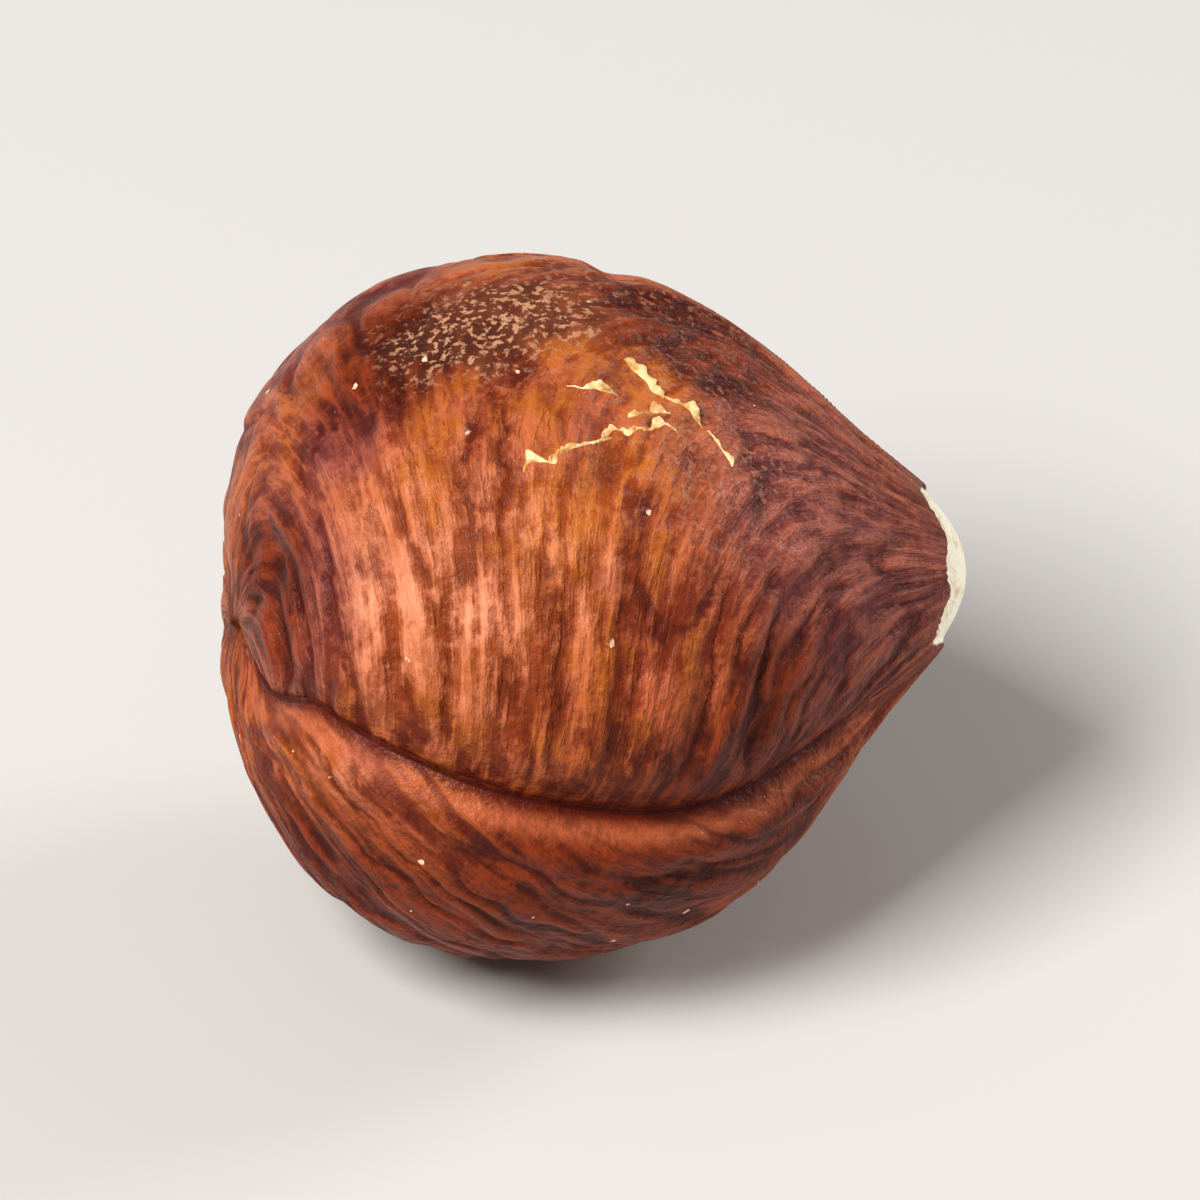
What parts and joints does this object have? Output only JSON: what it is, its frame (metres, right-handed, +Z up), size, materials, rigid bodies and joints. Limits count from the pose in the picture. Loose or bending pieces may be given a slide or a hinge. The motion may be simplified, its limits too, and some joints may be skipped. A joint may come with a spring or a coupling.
{
  "type": "hazelnut kernel",
  "caption": "Shelled hazelnut kernel in its ridged brown skin, with a blunt bare tip and a furrow between its two halves; lies on its side.",
  "frame": {"origin": "on the surface that the kernel rests on, under the middle of its bounding box", "axes": "+Z up; +X along the kernel from the round base to the blunt tip; -Y is the front, where the furrow shows"},
  "size_m": [0.016, 0.015, 0.0147],
  "materials": {
    "skin": "thin papery nut skin, satin, red-brown with paler ridges, worn to cream flesh at the tip"
  },
  "bodies": {
    "root": {"kernel": "skin"}
  },
  "joints": []
}
